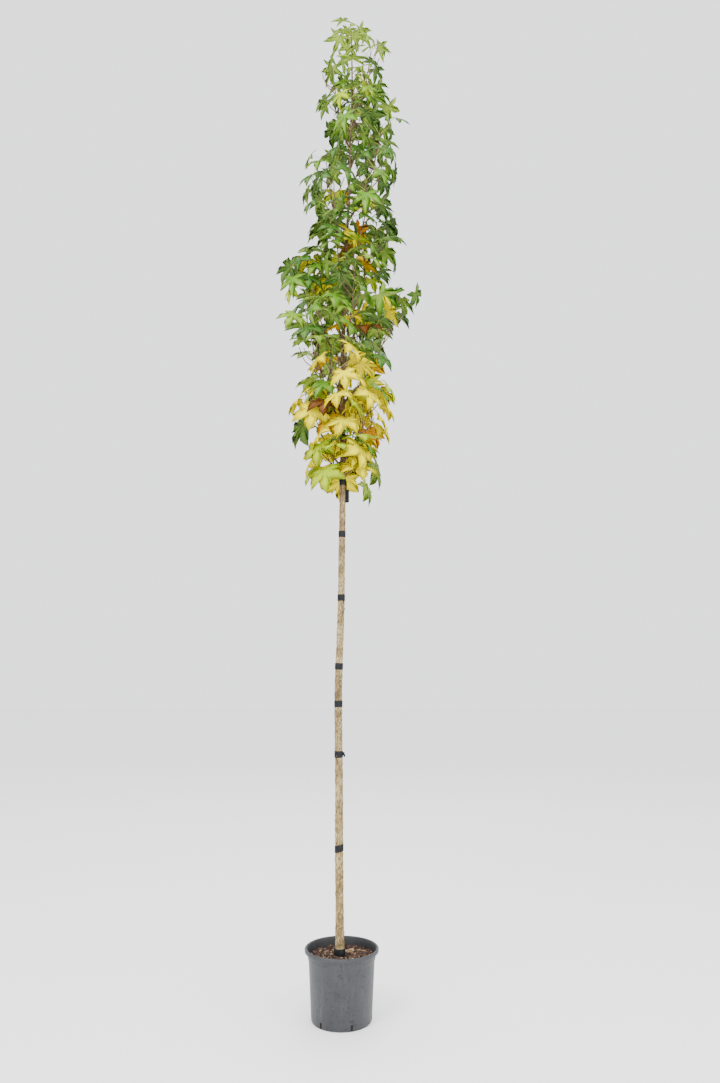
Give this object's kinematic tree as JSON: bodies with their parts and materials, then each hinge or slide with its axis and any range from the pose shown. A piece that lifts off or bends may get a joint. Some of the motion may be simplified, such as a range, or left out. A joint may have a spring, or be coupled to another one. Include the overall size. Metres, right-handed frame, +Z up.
{
  "type": "potted standard tree",
  "caption": "A young deciduous tree with a tall clear stem and a slim column of star-shaped leaves, growing in a round nursery pot",
  "frame": {"origin": "Centre of the pot's flat underside, on the ground", "axes": "+Z up, along the pot's axis and the stem. -Y is the side the picture shows, and +X is to its right"},
  "size_m": [0.6678, 0.5996, 4.551],
  "materials": {
    "pot_plastic": "matte",
    "bark_chips": "matte",
    "stem_bark": "matte",
    "bough_bark": "matte",
    "tie_rubber": "matte",
    "leaf_yellow": "matte",
    "leaf_green": "matte",
    "leaf_fresh": "matte"
  },
  "bodies": {
    "root": {"bough_01": "bough_bark", "bough_02": "bough_bark", "bough_03": "bough_bark", "bough_04": "bough_bark", "bough_05": "bough_bark", "bough_06": "bough_bark", "bough_07": "bough_bark", "bough_08": "bough_bark", "bough_09": "bough_bark", "bough_10": "bough_bark", "bough_11": "bough_bark", "bough_12": "bough_bark", "bough_13": "bough_bark", "bough_14": "bough_bark", "bough_15": "bough_bark", "bough_16": "bough_bark", "bough_17": "bough_bark", "bough_18": "bough_bark", "bough_19": "bough_bark", "bough_20": "bough_bark", "compost": "bark_chips", "foliage_01": "leaf_yellow", "foliage_02": "leaf_yellow", "foliage_03": "leaf_yellow", "foliage_04": "leaf_green", "foliage_05": "leaf_green", "foliage_06": "leaf_green", "foliage_07": "leaf_green", "foliage_08": "leaf_green", "foliage_09": "leaf_green", "foliage_10": "leaf_green", "foliage_11": "leaf_green", "foliage_12": "leaf_green", "foliage_13": "leaf_green", "foliage_14": "leaf_green", "foliage_15": "leaf_green", "foliage_16": "leaf_green", "foliage_17": "leaf_green", "foliage_18": "leaf_green", "foliage_19": "leaf_green", "foliage_20": "leaf_fresh", "foliage_inner_01": "leaf_yellow", "foliage_inner_02": "leaf_yellow", "foliage_inner_03": "leaf_yellow", "foliage_inner_04": "leaf_yellow", "foliage_inner_05": "leaf_green", "foliage_inner_06": "leaf_green", "foliage_inner_07": "leaf_green", "foliage_top": "leaf_fresh", "pot": "pot_plastic", "tie_1": "tie_rubber", "tie_2": "tie_rubber", "tie_3": "tie_rubber", "tie_4": "tie_rubber", "tie_5": "tie_rubber", "tie_6": "tie_rubber", "tie_7": "tie_rubber", "tie_8": "tie_rubber", "tie_9": "tie_rubber", "trunk": "stem_bark"}
  },
  "joints": []
}
